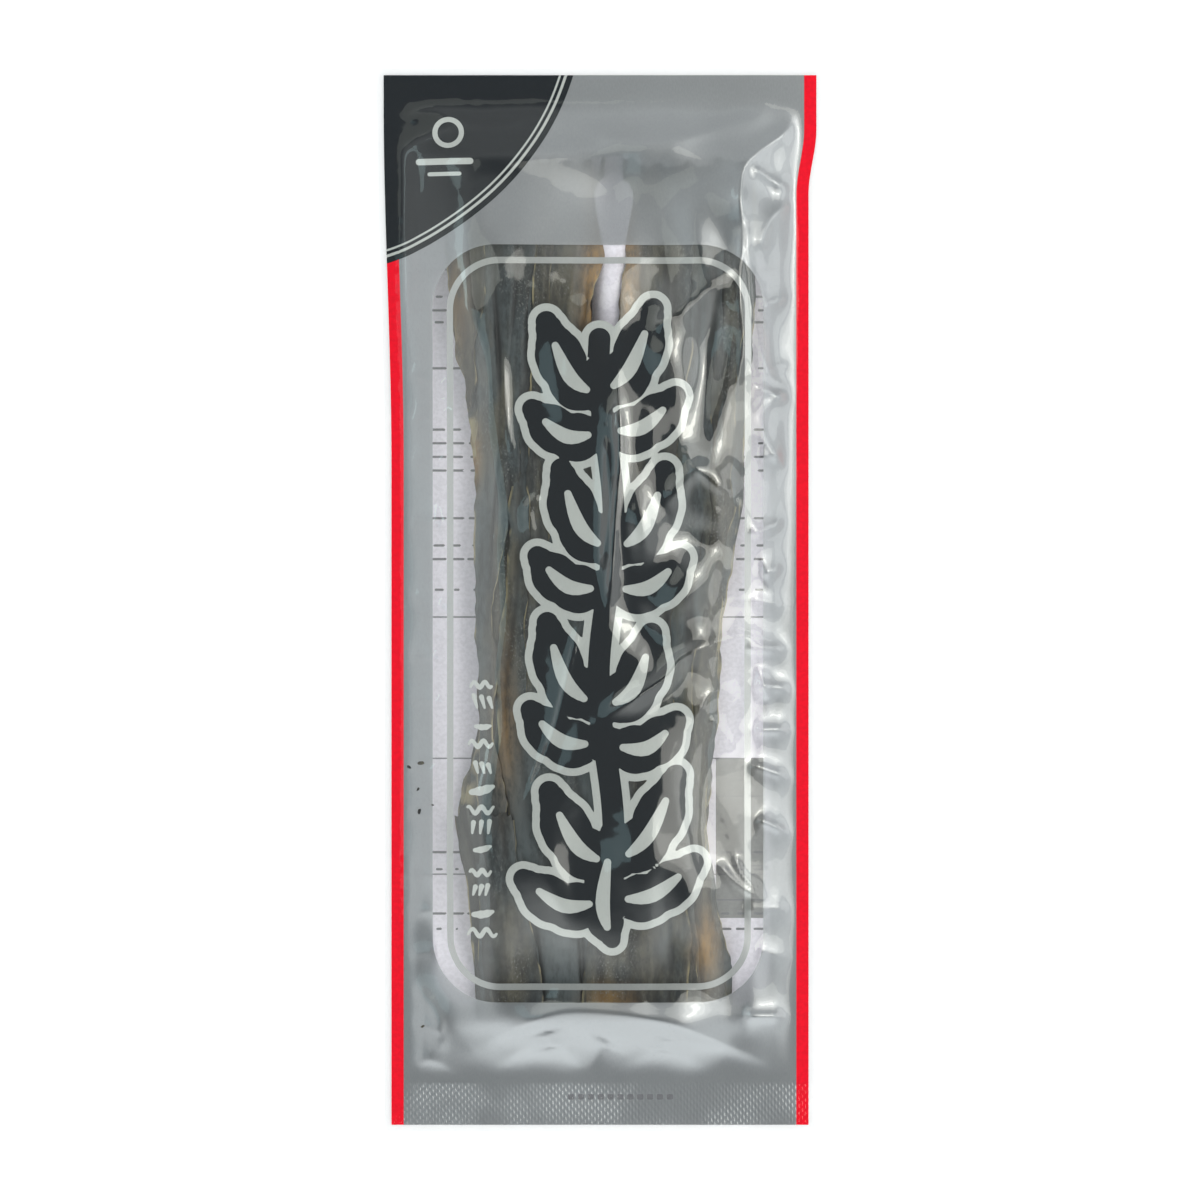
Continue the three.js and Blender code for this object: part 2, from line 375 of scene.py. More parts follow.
class FilmShape:
    """The front film's height and slopes, worked out once on a fine grid and read off by blending."""

    STEP = 0.4
    BASE_SMOOTHINGS = 45
    CREASE_SMOOTHINGS = 1

    def __init__(self):
        self.xs = np.arange(-TOP_HALF_WIDTH - 2, TOP_HALF_WIDTH + 2, self.STEP)
        self.ys = np.arange(-HALF_LENGTH - 2, HALF_LENGTH + 2, self.STEP)
        x, y = np.meshgrid(self.xs, self.ys)
        base = smoothed(bundle_height(x, y), self.BASE_SMOOTHINGS)
        relief = smoothed(inside_seals(x, y) * film_relief(x, y), self.CREASE_SMOOTHINGS)
        self.height = np.maximum(RIM_HEIGHT + base + relief, RIM_HEIGHT)
        self.slope_y, self.slope_x = np.gradient(self.height, self.STEP)

    def read(self, values, x, y):
        u = (x - self.xs[0]) / self.STEP
        v = (y - self.ys[0]) / self.STEP
        i = np.clip(u.astype(int), 0, len(self.xs) - 2)
        j = np.clip(v.astype(int), 0, len(self.ys) - 2)
        return blended(values, i, j, u - i, v - j)

    def height_at(self, x, y):
        return self.read(self.height, x, y)

    def points_and_normals(self, x, y, depth=0.0):
        points = np.stack([x, y, self.height_at(x, y) - depth], axis=1)
        slopes = (self.read(self.slope_x, x, y), self.read(self.slope_y, x, y))
        normals = np.stack([-slopes[0], -slopes[1], np.ones_like(x)], axis=1)
        return points, normals / np.linalg.norm(normals, axis=1, keepdims=True)


class FlatShape:
    """The back film, flat on what the pouch lies on. Its ink lies above it."""

    def points_and_normals(self, x, y, depth=0.0):
        points = np.stack([x, y, np.full_like(x, BACK_HEIGHT + depth)], axis=1)
        return points, np.tile((0.0, 0.0, 1.0), (len(x), 1))


# ---- Meshes ----
def new_object(name, data):
    made = bpy.data.objects.new(name, data)
    bpy.context.scene.collection.objects.link(made)
    return made


def add_piece(name, points, faces, material, normals=None):
    """A smooth mesh object from points in millimetres, riding on the pouch."""
    mesh = bpy.data.meshes.new(name)
    mesh.from_pydata((np.asarray(points) * MM).tolist(), [], np.asarray(faces).tolist())
    mesh.polygons.foreach_set("use_smooth", [True] * len(mesh.polygons))
    if normals is not None:
        mesh.normals_split_custom_set_from_vertices(normals.tolist())
    mesh.materials.append(material)
    piece = new_object(name, mesh)
    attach(piece, BODY)
    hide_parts("pouch")
    return piece


def flat_uv(piece):
    """A plan view of the piece as its UV map, filling the unit square."""
    mesh = piece.data
    places = np.empty(3 * len(mesh.vertices))
    mesh.vertices.foreach_get("co", places)
    plan = places.reshape(-1, 3)[:, :2]
    plan = (plan - plan.min(axis=0)) / np.ptp(plan, axis=0)
    corners = np.empty(len(mesh.loops), dtype=int)
    mesh.loops.foreach_get("vertex_index", corners)
    layer = mesh.uv_layers.new(name="OFBake")
    layer.data.foreach_set("uv", plan[corners].ravel())


def set_attribute(piece, name, values):
    attribute = piece.data.attributes.new(name, "FLOAT", "POINT")
    attribute.data.foreach_set("value", values)


def grid_faces(rows, columns):
    index = np.arange(rows * columns).reshape(rows, columns)
    near = index[:-1, :-1]
    return np.stack([near, near + 1, near + columns + 1, near + columns], axis=-1).reshape(-1, 4)


# ---- Materials ----
class Nodes:
    """Short calls for building the nodes of a material or of the world."""

    def __init__(self, owner):
        owner.use_nodes = True
        self.tree = owner.node_tree

    def add(self, kind, inputs=None, **settings):
        node = self.tree.nodes.new(f"ShaderNode{kind}")
        for key, value in settings.items():
            setattr(node, key, value)
        for key, value in (inputs or {}).items():
            self.feed(node.inputs[key], value)
        return node

    def feed(self, socket, value):
        if isinstance(value, bpy.types.NodeSocket):
            self.tree.links.new(value, socket)
        else:
            socket.default_value = value

    def math(self, operation, a, b=0.0):
        return self.add("Math", {0: a, 1: b}, operation=operation).outputs[0]

    def times(self, a, b):
        return self.math("MULTIPLY", a, b)

    def plus(self, a, b):
        return self.math("ADD", a, b)

    def ramp(self, value, low, high, levels=(0.0, 1.0)):
        """A smooth change from one level to another, as the value goes from low to high."""
        inputs = {"Value": value, "From Min": low, "From Max": high}
        inputs |= {"To Min": levels[0], "To Max": levels[1]}
        return self.add("MapRange", inputs, interpolation_type="SMOOTHSTEP").outputs["Result"]


class Material(Nodes):
    """The nodes of one material, round its shader."""

    def __init__(self, name, settings):
        self.material = bpy.data.materials.new(name)
        super().__init__(self.material)
        self.shader = self.tree.nodes["Principled BSDF"]
        for socket, value in settings.items():
            self.to_shader(socket, value)
        self.place = self.add("TexCoord").outputs["Object"]

    def to_shader(self, socket, value):
        self.feed(self.shader.inputs[socket], value)

    def attribute(self, name):
        return self.add("Attribute", attribute_name=name).outputs["Fac"]

    def stretched(self, scale):
        return self.add("Mapping", {"Vector": self.place, "Scale": scale}).outputs["Vector"]

    def noise(self, vector, scale, detail=3.0, roughness=0.55):
        inputs = {"Vector": vector, "Scale": scale, "Detail": detail, "Roughness": roughness}
        return self.add("TexNoise", inputs).outputs["Fac"]

    def mix(self, share, low, high):
        return self.add("Mix", {0: share, 6: low, 7: high}, data_type="RGBA").outputs[2]

    def bump(self, height, distance, strength=1.0):
        inputs = {"Height": height, "Distance": distance, "Strength": strength}
        self.to_shader("Normal", self.add("Bump", inputs).outputs["Normal"])


# The film's gloss, and how much of it goes where ink takes the place of its lower face.
CLEAR_SHEEN = 0.14
INK_SHEEN_LOSS = 0.075
CRIMP = {"pitch": 0.95, "cross_pitch": 1.7, "lean": 0.8, "in_film": 0.07, "in_ink": 0.1}
GRAIN_DARKENING = 0.9
BUMP_DEPTH = 0.5 * MM

# Colours of the kelp: each pair runs from a blue grey to an olive brown.
KELP_DARK = ((0.012, 0.018, 0.019), (0.021, 0.019, 0.012))
KELP_LIGHT = ((0.07, 0.088, 0.09), (0.092, 0.086, 0.058))
# Painted shade: the near-black that is laid into the hollows of the kelp's folds.
KELP_FOLD_SHADE = (0.009, 0.010, 0.009)
KELP_AMBER = (0.36, 0.19, 0.03)
KELP_BLOOM = (0.24, 0.25, 0.23)
KELP_CUT_EDGE = (0.36, 0.31, 0.17)


def crimp_height(nodes):
    """Fine ribs pressed into the bottom seal, crossed by slanting ones, and worn in places."""
    x, y, _ = nodes.add("SeparateXYZ", {0: nodes.place}).outputs
    ribs = nodes.math("SINE", nodes.times(x, 2 * math.pi / (CRIMP["pitch"] * MM)))
    slant = nodes.plus(x, nodes.times(y, CRIMP["lean"]))
    cross = nodes.math("SINE", nodes.times(slant, 2 * math.pi / (CRIMP["cross_pitch"] * MM)))
    both = nodes.plus(nodes.times(ribs, 0.5), nodes.times(cross, 0.5))
    worn = nodes.ramp(nodes.noise(nodes.place, 45, 2), 0.35, 0.65)
    both = nodes.times(both, nodes.plus(worn, 0.35))
    seal_top = BOTTOM_SEAL - HALF_LENGTH
    return nodes.times(both, nodes.ramp(y, (seal_top + 1) * MM, (seal_top - 0.5) * MM))


def clear_film():
    """Gloss that mirrors the lights: both faces of the film where it is clear, one where ink backs it."""
    gloss = {"Base Color": (0.97, 0.98, 0.94, 1), "Metallic": 1.0, "Roughness": 0.055}
    nodes = Material("clear_film", gloss)
    loss = nodes.times(nodes.attribute("over_ink"), INK_SHEEN_LOSS)
    nodes.to_shader("Alpha", nodes.math("SUBTRACT", CLEAR_SHEEN, loss))
    waves = nodes.times(nodes.noise(nodes.place, 90, 2), 0.3)
    nodes.bump(nodes.plus(waves, nodes.times(crimp_height(nodes), CRIMP["in_film"])), BUMP_DEPTH)
    return nodes.material


def grained_colour(nodes, share, colour):
    """The colour, a little darker where the share is low."""
    darker = tuple(GRAIN_DARKENING * channel for channel in colour)
    nodes.to_shader("Base Color", nodes.mix(share, (*darker, 1), (*colour, 1)))


def silver_ink(name, colour, alpha, metallic):
    nodes = Material(name, {"Metallic": metallic, "Roughness": 0.34, "Alpha": alpha})
    grain = nodes.noise(nodes.stretched((1, 0.35, 1)), 2600, 2)
    tone = nodes.noise(nodes.place, 40, 2)
    share = nodes.plus(nodes.times(grain, 0.5), nodes.times(tone, 0.5))
    grained_colour(nodes, nodes.ramp(share, 0.3, 0.7), colour)
    nodes.bump(nodes.times(crimp_height(nodes), CRIMP["in_ink"]), BUMP_DEPTH)
    return nodes.material


def plain_ink(name, colour, alpha=1.0):
    nodes = Material(name, {"Roughness": 0.6, "Specular IOR Level": 0.1, "Alpha": alpha})
    grained_colour(nodes, nodes.ramp(nodes.noise(nodes.place, 900, 2), 0.35, 0.65), colour)
    return nodes.material


def kelp_skin():
    """Dried blade: streaks along it, a pale bloom, amber where thin, straw-coloured cut edges, and
    painted shade in the hollows of its folds.
    """
    nodes = Material("kelp_skin", {"Roughness": 0.46})
    streaks = nodes.noise(nodes.stretched((1, 0.09, 0.5)), 300, 5, 0.55)
    leathery = nodes.noise(nodes.stretched((1, 0.42, 0.5)), 620, 8, 0.7)
    broad = nodes.noise(nodes.stretched((1, 0.3, 0.5)), 95, 4, 0.55)
    tone = nodes.attribute("tone")
    tint = nodes.ramp(nodes.plus(broad, nodes.times(tone, 0.14)), 0.38, 0.62)
    dark, light = (nodes.mix(tint, (*grey, 1), (*brown, 1)) for grey, brown in (KELP_DARK, KELP_LIGHT))
    share = nodes.plus(nodes.times(streaks, 0.36), nodes.times(leathery, 0.44))
    share = nodes.plus(share, nodes.times(broad, 0.2))
    toned = nodes.math("SUBTRACT", share, nodes.times(tone, 0.07))
    speckle = nodes.ramp(nodes.noise(nodes.stretched((1, 0.6, 1)), 1900, 3, 0.75), 0.54, 0.66)
    patches = nodes.ramp(nodes.noise(nodes.stretched((1, 0.3, 1)), 95, 3), 0.5, 0.64)
    ragged_edge = nodes.ramp(nodes.noise(nodes.place, 90, 2), 0.46, 0.6)
    colour = nodes.mix(nodes.ramp(toned, 0.41, 0.61), dark, light)
    for amount, over in (
        # First painted shade in the hollows of the folds, then amber, bloom and cut edges.
        (nodes.times(nodes.attribute("fold_shade"), 0.85), KELP_FOLD_SHADE),
        (nodes.times(nodes.attribute("amber"), nodes.ramp(share, 0.3, 0.6)), KELP_AMBER),
        (nodes.times(nodes.times(speckle, patches), 0.6), KELP_BLOOM),
        (nodes.times(nodes.attribute("cut_edge"), ragged_edge), KELP_CUT_EDGE),
    ):
        colour = nodes.mix(amount, colour, (*over, 1))
    nodes.to_shader("Base Color", colour)
    nodes.bump(share, BUMP_DEPTH, 0.7)
    return nodes.material


# ---- Print: scalar fields in the plane, negative inside a shape ----
def rounded_box(x, y, centre, half, radius):
    dx = np.abs(x - centre[0]) - half[0] + radius
    dy = np.abs(y - centre[1]) - half[1] + radius
    outside = np.hypot(np.maximum(dx, 0), np.maximum(dy, 0))
    return outside + np.minimum(np.maximum(dx, dy), 0) - radius


def disc(x, y, centre, radius):
    return np.hypot(x - centre[0], y - centre[1]) - radius


def nearest_of(fields):
    """The field of several shapes together."""
    return np.minimum.reduce(list(fields))


STROKE_REACH = 6  # how far beyond its edge a stroke's field is worked out


def stroke(x, y, spine, radii):
    """A stroke of changing width along a line of points."""
    close = near_line(x, y, spine, max(radii) + STROKE_REACH)
    px, py = x[close], y[close]
    nearest = np.full(px.shape, FAR)
    for start, end, radius, next_radius in zip(spine, spine[1:], radii, radii[1:]):
        t, away = from_segment(px, py, start, end)
        nearest = np.minimum(nearest, away - radius - (next_radius - radius) * t)
    field = np.full(np.shape(x), FAR)
    field[close] = nearest
    return field


def strokes_field(x, y, strokes):
    return nearest_of(stroke(x, y, spine, radii) for spine, radii in strokes)


PRINT_MARGIN = 2.0
RED_WIDTH = 3.6
CORNER = {"centre": (-87.8, 178.4), "radius": 83.6}
CORNER_LINES = ((1.7, 2.5), (3.4, 4.0))  # how far inside the corner each line starts and ends
WINDOW = {"centre": (-0.6, -7), "half": (48.4, 110.6), "radius": 18.5}
FRAME_LINE = {"centre": (-0.3, -7), "half": (43.5, 106.0), "radius": 14.5}
FRAME_HALF_WIDTH = 0.95
MOTIF = {"x": 1.8, "top": 90.0, "foot": -92.0, "groups": 4, "spread": 25.0, "outline": 2.2}
STEM = {"half_width": 3.2, "below_top": 14, "points": 40, "wander": 2.2, "wave": 92}
ROOT_WIDTH = 5.5
VEIN_WIDTHS = (0.6, 1.5)  # at its ends, and how much more at its middle
LEAVES = [
    # The height of a leaf's start, its bend and tip as a share of the spread and a height, and its
    # half width. Heights are above the foot of its group.
    (5, (0.52, 4.5), (0.97, 14), 6.7),
    (15, (0.42, 22), (0.70, 40), 7.2),
]
SCRIPT = {"x": -34.4, "top": -21.0, "foot": -100.0, "marks": 13}


def leaf(base, bend, tip, width):
    """A blade with wavy edges that narrows to its tip, and the vein down its middle."""
    spine = curve_through([base, bend, tip], steps=8)
    last = len(spine) - 1
    radii = [leaf_radius(step / last, width) for step in range(last + 1)]
    vein = spine[4:-4]
    turns = [math.pi * (step + 1) / (len(vein) + 1) for step in range(len(vein))]
    return (spine, radii), (vein, [VEIN_WIDTHS[0] + VEIN_WIDTHS[1] * math.sin(turn) for turn in turns])


def leaf_radius(t, width):
    body = math.sin(math.pi * (0.14 + 0.82 * t**1.15)) ** 0.75
    return width * body * (1 + 0.10 * math.sin(21 * t))


def plant_strokes():
    """The kelp plant of the print: a thick stem with four groups of broad leaves, one above another."""
    blades = []
    veins = []
    group_height = (MOTIF["top"] - MOTIF["foot"]) / MOTIF["groups"]
    for group in range(MOTIF["groups"]):
        foot = MOTIF["foot"] + group * group_height
        spread = MOTIF["spread"] - 1.3 * group
        for side in (-1, 1):
            tilt = 1.6 * math.sin(2.3 * group + 1.7 * side)
            for base_dy, bend, tip, width in LEAVES:
                base = (stem_x(foot + base_dy), foot + base_dy)
                middle = (base[0] + side * bend[0] * spread, foot + bend[1] + tilt)
                end = (base[0] + side * tip[0] * spread + tilt, foot + tip[1] + 1.5 * tilt)
                blade, vein = leaf(base, middle, end, width)
                blades.append(blade)
                veins.append(vein)
    heights = np.linspace(MOTIF["foot"], MOTIF["top"] - STEM["below_top"], STEM["points"])
    stem = [(stem_x(y), y) for y in heights]
    blades.append((stem, [STEM["half_width"]] * len(stem)))
    x, y = stem[0]
    root, root_vein = leaf(stem[6], (x - 1, y + 4), (x + 2, y - 8), ROOT_WIDTH)
    return [*blades, root], [*veins, root_vein]


def stem_x(y):
    return MOTIF["x"] + STEM["wander"] * math.sin(2 * math.pi * y / STEM["wave"])


def script_strokes():
    """A column of small uneven marks beside the plant: waves, ticks and leaves that spell nothing."""
    rng = np.random.default_rng(12)
    strokes = []
    pitch = (SCRIPT["foot"] - SCRIPT["top"]) / SCRIPT["marks"]
    for mark in range(SCRIPT["marks"]):
        x = SCRIPT["x"] + rng.uniform(-0.5, 0.5)
        y = SCRIPT["top"] + pitch * (mark + 0.5 + rng.uniform(-0.12, 0.12))
        size = rng.uniform(0.8, 1.2)
        lean = rng.uniform(-1.2, 1.2)
        draw = (wave_mark, tick_mark, leaf_mark)[mark % 3]
        strokes += draw(x, y, size, lean)
    return strokes


def wave_mark(x, y, size, lean):
    steps = range(17)
    spine = [(x + size * (0.45 * step - 3.6), y + size * math.sin(0.8 * step + lean)) for step in steps]
    return [(spine, [0.42 + 0.25 * math.sin(0.2 * step) for step in steps])]


def tick_mark(x, y, size, lean):
    strokes = []
    for part in (-1, 0, 1):
        start = (x + 2.1 * size * part, y + size * (1.4 + 0.4 * part * lean))
        strokes.append(([start, (start[0] - lean, y - 1.6 * size)], [0.75, 0.35]))
    return strokes


def leaf_mark(x, y, size, lean):
    blade, _ = leaf((x - 2.9 * size, y - lean), (x, y - 0.4), (x + 2.9 * size, y + lean), 1.1 * size)
    return [blade]


def emblem_field(x, y):
    """A plain ring over two bars, in the black corner."""
    ring = np.abs(disc(x, y, (-44.5, 137), 3.9)) - 0.75
    long_bar = rounded_box(x, y, (-45.5, 128.3), (8.5, 0.95), 0.9)
    short_bar = rounded_box(x, y, (-45.5, 124.6), (5, 0.6), 0.5)
    return nearest_of([ring, long_bar, short_bar])


def date_dashes(x, y):
    places = [(-8.5 + 2.9 * dash, -145.8) for dash in range(11)]
    return nearest_of(rounded_box(x, y, place, (0.9, 0.8), 0.2) for place in places)


def edge_fields(x, y, width):
    """Four fields that are positive within a width of the left, right, top and bottom edges."""
    left = left_edge(y) + width - x
    right = x - right_edge(y) + width
    return left, right, y - HALF_LENGTH + width, -y - HALF_LENGTH + width


def in_rim(fields):
    """Where the film is left plain all round the print."""
    return np.max([fields[edge] for edge in ("left", "right", "top", "bottom")], axis=0) > 0


def front_fields(x, y):
    """Every edge of the front print, as the zero line of a named field."""
    blades, veins = plant_strokes()
    left, right, top, bottom = edge_fields(x, y, PRINT_MARGIN)
    left_red, right_red, *_ = edge_fields(x, y, PRINT_MARGIN + RED_WIDTH)
    corner = disc(x, y, **CORNER)
    framed = rounded_box(x, y, **FRAME_LINE)
    plant = strokes_field(x, y, blades)
    fields = {
        "left": left,
        "left_red": left_red,
        "right": right,
        "right_red": right_red,
        "top": top,
        "bottom": bottom,
        "corner": corner,
        "window": rounded_box(x, y, **WINDOW),
        "frame_out": framed - FRAME_HALF_WIDTH,
        "frame_in": framed + FRAME_HALF_WIDTH,
        "plant": plant,
        "outline": plant - MOTIF["outline"],
        "veins": strokes_field(x, y, veins),
        "script": strokes_field(x, y, script_strokes()),
        "emblem": emblem_field(x, y),
        "dashes": date_dashes(x, y),
    }
    for number, (outer, inner) in enumerate(CORNER_LINES):
        fields[f"line_{number}_out"] = corner + outer
        fields[f"line_{number}_in"] = corner + inner
    return fields


def front_inks(x, y):
    """Which ink covers each point of the front. 'line' and 'frame' are two paler silvers."""
    f = front_fields(x, y)
    ink = np.full(np.shape(x), "silver", dtype="<U6")
    ink[f["window"] < 0] = "none"
    ink[(f["window"] < 0) & (f["script"] < 0)] = "line"
    ink[(f["frame_out"] < 0) & (f["frame_in"] > 0)] = "frame"
    ink[f["outline"] < 0] = "line"
    ink[(f["plant"] < 0) & (f["veins"] > 0)] = "black"
    ink[f["dashes"] < 0] = "grey"
    ink[(f["left_red"] > 0) | (f["right_red"] > 0)] = "red"
    lines = np.zeros(np.shape(x), dtype=bool)
    for number in range(len(CORNER_LINES)):
        lines |= (f[f"line_{number}_out"] < 0) & (f[f"line_{number}_in"] > 0)
    ink[f["corner"] < 0] = "black"
    ink[(f["corner"] < 0) & (lines | (f["emblem"] < 0))] = "line"
    ink[in_rim(f)] = "none"
    return ink


BACK_PANEL = {"centre": (0.3, -7), "half": (49.6, 112.5), "radius": 12}
BACK_FRAMES = [
    # Centre, half size and corner radius of each thin frame on the white panel.
    ((0.3, 46), (57.3, 51), 6),
    ((0.3, -63.5), (57.3, 17), 1.5),
]
BACK_FRAME_HALF_WIDTH = 0.22
BACK_TABLE = {"centre": (41.2, -70), "half": (7.2, 23.3), "radius": 0.3}
BACK_TABLE_ROWS = (-53, -57.5, -78, -88)
BACK_ROWS = [89, 85, 81.5, 68, 50, 46, 42, 38, 24, 16, 12, 3, -74, -79, -92, -96.5]


def back_marks(x, y):
    """Thin frames and short bars printed on the back, all plain."""
    marks = [np.abs(rounded_box(x, y, *outline)) - BACK_FRAME_HALF_WIDTH for outline in BACK_FRAMES]
    for row in BACK_TABLE_ROWS:
        marks.append(rounded_box(x, y, (BACK_TABLE["centre"][0], row), (BACK_TABLE["half"][0], 0.2), 0.1))
    for number, row in enumerate(BACK_ROWS):
        for side in (-1, 1):
            length = 2.4 + 1.6 * math.sin(3.3 * number + side)
            for part in range(3):
                centre = (side * (47.2 - 5.2 * part), row)
                marks.append(rounded_box(x, y, centre, (min(2.2, length - 0.5 * part), 0.34), 0.1))
    return nearest_of(marks)


def back_fields(x, y):
    fields = dict(zip(("left", "right", "top", "bottom"), edge_fields(x, y, PRINT_MARGIN)))
    fields["panel"] = rounded_box(x, y, **BACK_PANEL)
    fields["table"] = rounded_box(x, y, **BACK_TABLE)
    fields["marks"] = back_marks(x, y)
    return fields


def back_inks(x, y):
    f = back_fields(x, y)
    ink = np.full(np.shape(x), "silver", dtype="<U6")
    ink[f["panel"] < 0] = "white"
    ink[f["table"] < 0] = "table"
    ink[f["marks"] < 0] = "grey"
    ink[in_rim(f)] = "none"
    return ink


INK_DEPTH = 0.12
INK_STEP = 0.8
EDGE_STEP = 0.4
INK_CLEARANCE = 0.28  # how near to a printed edge, or to each other, the plan's other points may be


def crossings(field, x, y):
    """Where a field changes sign along the lines of a square grid."""
    found = []
    for cut_a, cut_b in ((np.s_[:, :-1], np.s_[:, 1:]), (np.s_[:-1, :], np.s_[1:, :])):
        a, b = field[cut_a], field[cut_b]
        crossed = (a < 0) != (b < 0)
        share = a[crossed] / (a[crossed] - b[crossed])
        xs = x[cut_a][crossed] + share * (x[cut_b][crossed] - x[cut_a][crossed])
        ys = y[cut_a][crossed] + share * (y[cut_b][crossed] - y[cut_a][crossed])
        found.append(np.stack([xs, ys], axis=1))
    return np.concatenate(found)


def plan_grid(step):
    columns = np.arange(-TOP_HALF_WIDTH, TOP_HALF_WIDTH + step, step)
    rows = np.arange(-HALF_LENGTH, HALF_LENGTH + step, step)
    return np.meshgrid(columns, rows)


def plan_triangles(fields_of):
    """Triangles over the whole plan of the pouch, with their sides along every printed edge."""
    x, y = plan_grid(INK_STEP)
    clear = np.min(np.abs(list(fields_of(x, y).values())), axis=0) > INK_CLEARANCE
    inner = np.stack([x[clear], y[clear]], axis=1)
    x, y = plan_grid(EDGE_STEP)
    edges = np.concatenate([crossings(field, x, y) for field in fields_of(x, y).values()])
    _, first = np.unique(np.round(edges / INK_CLEARANCE), axis=0, return_index=True)
    points = np.concatenate([inner, edges[np.sort(first)]])
    made = delaunay_2d_cdt([Vector(point) for point in points.tolist()], [], [], 0, 1e-4)
    return np.array([tuple(point) for point in made[0]]), np.array(made[2])


def ink_layers(prefix, fields_of, inks_of, shape, inks):
    """One piece for each ink of a film, from the triangles whose middle it covers."""
    plan, triangles = plan_triangles(fields_of)
    middles = plan[triangles].mean(axis=1)
    covered = inks_of(middles[:, 0], middles[:, 1])
    for ink, material in inks.items():
        used, renumbered = np.unique(triangles[covered == ink], return_inverse=True)
        points, normals = shape.points_and_normals(*plan[used].T, INK_DEPTH)
        piece = add_piece(f"{prefix}_{ink}", points, renumbered.reshape(-1, 3), material, normals)
        piece.visible_shadow = False
        flat_uv(piece)


# ---- The films ----
FILM_STEP = 0.8
BACK_FILM_STEP = 3.0
NOTCH_REACH = 0.025  # the share of the film's width that the notch draws in


def film_plan(step):
    """A grid of points from edge to edge, with the tear notch cut into the right margin."""
    rows = int(2 * HALF_LENGTH / step)
    columns = int(2 * TOP_HALF_WIDTH / step)
    share, y = np.meshgrid(np.linspace(0, 1, columns), np.linspace(-HALF_LENGTH, HALF_LENGTH, rows))
    notch = NOTCH["depth"] * np.clip(1 - np.abs(y - NOTCH["y"]) / NOTCH["half_height"], 0, 1)
    in_margin = smoothstep((share - 1 + NOTCH_REACH) / NOTCH_REACH)
    x = left_edge(y) + (right_edge(y) - left_edge(y)) * share - notch * in_margin
    return x.ravel(), y.ravel(), rows, columns


def add_film(name, shape, step, material):
    x, y, rows, columns = film_plan(step)
    points, normals = shape.points_and_normals(x, y)
    piece = add_piece(name, points, grid_faces(rows, columns), material, normals)
    piece.visible_shadow = False
    set_attribute(piece, "over_ink", smoothstep(rounded_box(x, y, **WINDOW) / FILM_STEP))
    flat_uv(piece)


# ---- Kelp ----
KELP_THICKNESS = 0.9
KELP_TOP = 127.5
LAYER_STEP = 1.15
FILM_CLEARANCE = 0.4
CREASE_CLEARANCE = 0.25  # added for each layer, under the creased film
HIGHEST_FOLD = 0.6
KELP_ROUNDING = 0.35
LOWEST = {"upper": 1.0, "lower": 0.2}  # above the back film
CUT_EDGE = 0.35
TORN = {"top": 3.2, "foot": 0.8}
RUFFLES = ((0.9, 9, 90), (0.3, 2.7, 91))  # how far a side wavers, over what length, and a seed
STRIP_GRID = (40, 240)
UNDER_GRID = (14, 90)
AMBER_SPOTS = [
    # Centre, radii and strength of each thin, amber place.
    ((-1.5, 92), (4, 30), 1.0),
    ((8.6, 95), (2.4, 20), 1.0),
    ((-28, -38), (4, 20), 0.5),
    ((3, -118), (7, 5), 0.6),
    ((31, -101), (3.5, 9), 0.8),
    ((-37, 42), (2, 9), 0.8),
    ((-42, 86), (3, 14), 0.35),
]
WHOLE = (BUNDLE_FOOT, KELP_TOP)

# Each strip: its two ends, its layer under the film, and its sides as (y, x) stations.
STRIPS = {
    "kelp_left_flap": (
        (56, 129), 0.0,
        [(54, -38.6), (74, -41.5), (91, -44.5), (129, -45)],
        [(54, -37.4), (74, -35.8), (87, -33.8), (104, -32.9), (129, -32)],
    ),
    "kelp_left": (
        WHOLE, 0.6,
        [(-35, -35.8), (24, -36), (59, -36), (131, -35)],
        [
            (-60, -27), (-36, -32), (-16, -29.6), (-5, -31.1), (25, -25.8), (46, -22.6), (70, -19.5),
            (131, -18),
        ],
    ),
    "kelp_left_ribs": ((-30, 126), 0.3, [(-30, -22), (131, -18.4)], [(-30, -16), (131, -13.6)]),
    "kelp_middle": (
        WHOLE, 1.0,
        [(-123, -20), (-30, -30), (25, -26), (131, -19)],
        [(-123, -3.5), (-99, -0.3), (20, 4.5), (60, 2), (84, -3), (104, 1.2), (131, 1.5)],
    ),
    "kelp_middle_right": (
        WHOLE, 0.4,
        [(-123, -5), (20, 3.5), (60, 4.5), (84, 6), (104, 7.6), (131, 6.5)],
        [(-123, 26), (-100, 26), (-72, 23), (20, 21), (84, 27), (131, 28)],
    ),
    "kelp_right": (
        WHOLE, 1.1,
        [(-123, 20), (0, 16), (131, 25)],
        [(-115, 38.5), (-66, 31.6), (-14, 35.3), (34, 41.5), (91, 45.2)],
    ),
    "kelp_right_flap": (
        (-122, 125), 0.5,
        [(-123, 29), (-60, 25), (0, 28.5), (26, 31), (90, 35)],
        [(-115, 37), (-66, 31), (-14, 34.6), (34, 39), (91, 42)],
    ),
    "kelp_foot_left": (
        (-123, -62), 0.0,
        [(-123, -36.5), (-88, -38), (-63, -41.4)],
        [(-123, -17), (-63, -24)],
    ),
}
UNDER_LAYERS = range(2, 9)
UNDER_RECESS = 1.2  # how much further back from the gap each layer stands


def ragged(share, seed, depth):
    """A torn end: a few broken steps and a fine roughness, along the end from side to side."""
    rng = np.random.default_rng(seed)
    steps = rng.uniform(-1, 1, 9)
    place = share * 8
    before = np.clip(place.astype(int), 0, 7)
    coarse = steps[before] + (steps[before + 1] - steps[before]) * smoothstep(4 * (place - before) - 1.5)
    fine = np.interp(share * 40, np.arange(41), rng.uniform(-1, 1, 41))
    return depth * (0.75 * coarse + 0.25 * fine)


def slow_wave(rng, y, lengths):
    return np.sin(2 * np.pi * y / rng.uniform(*lengths) + rng.uniform(0, 6))


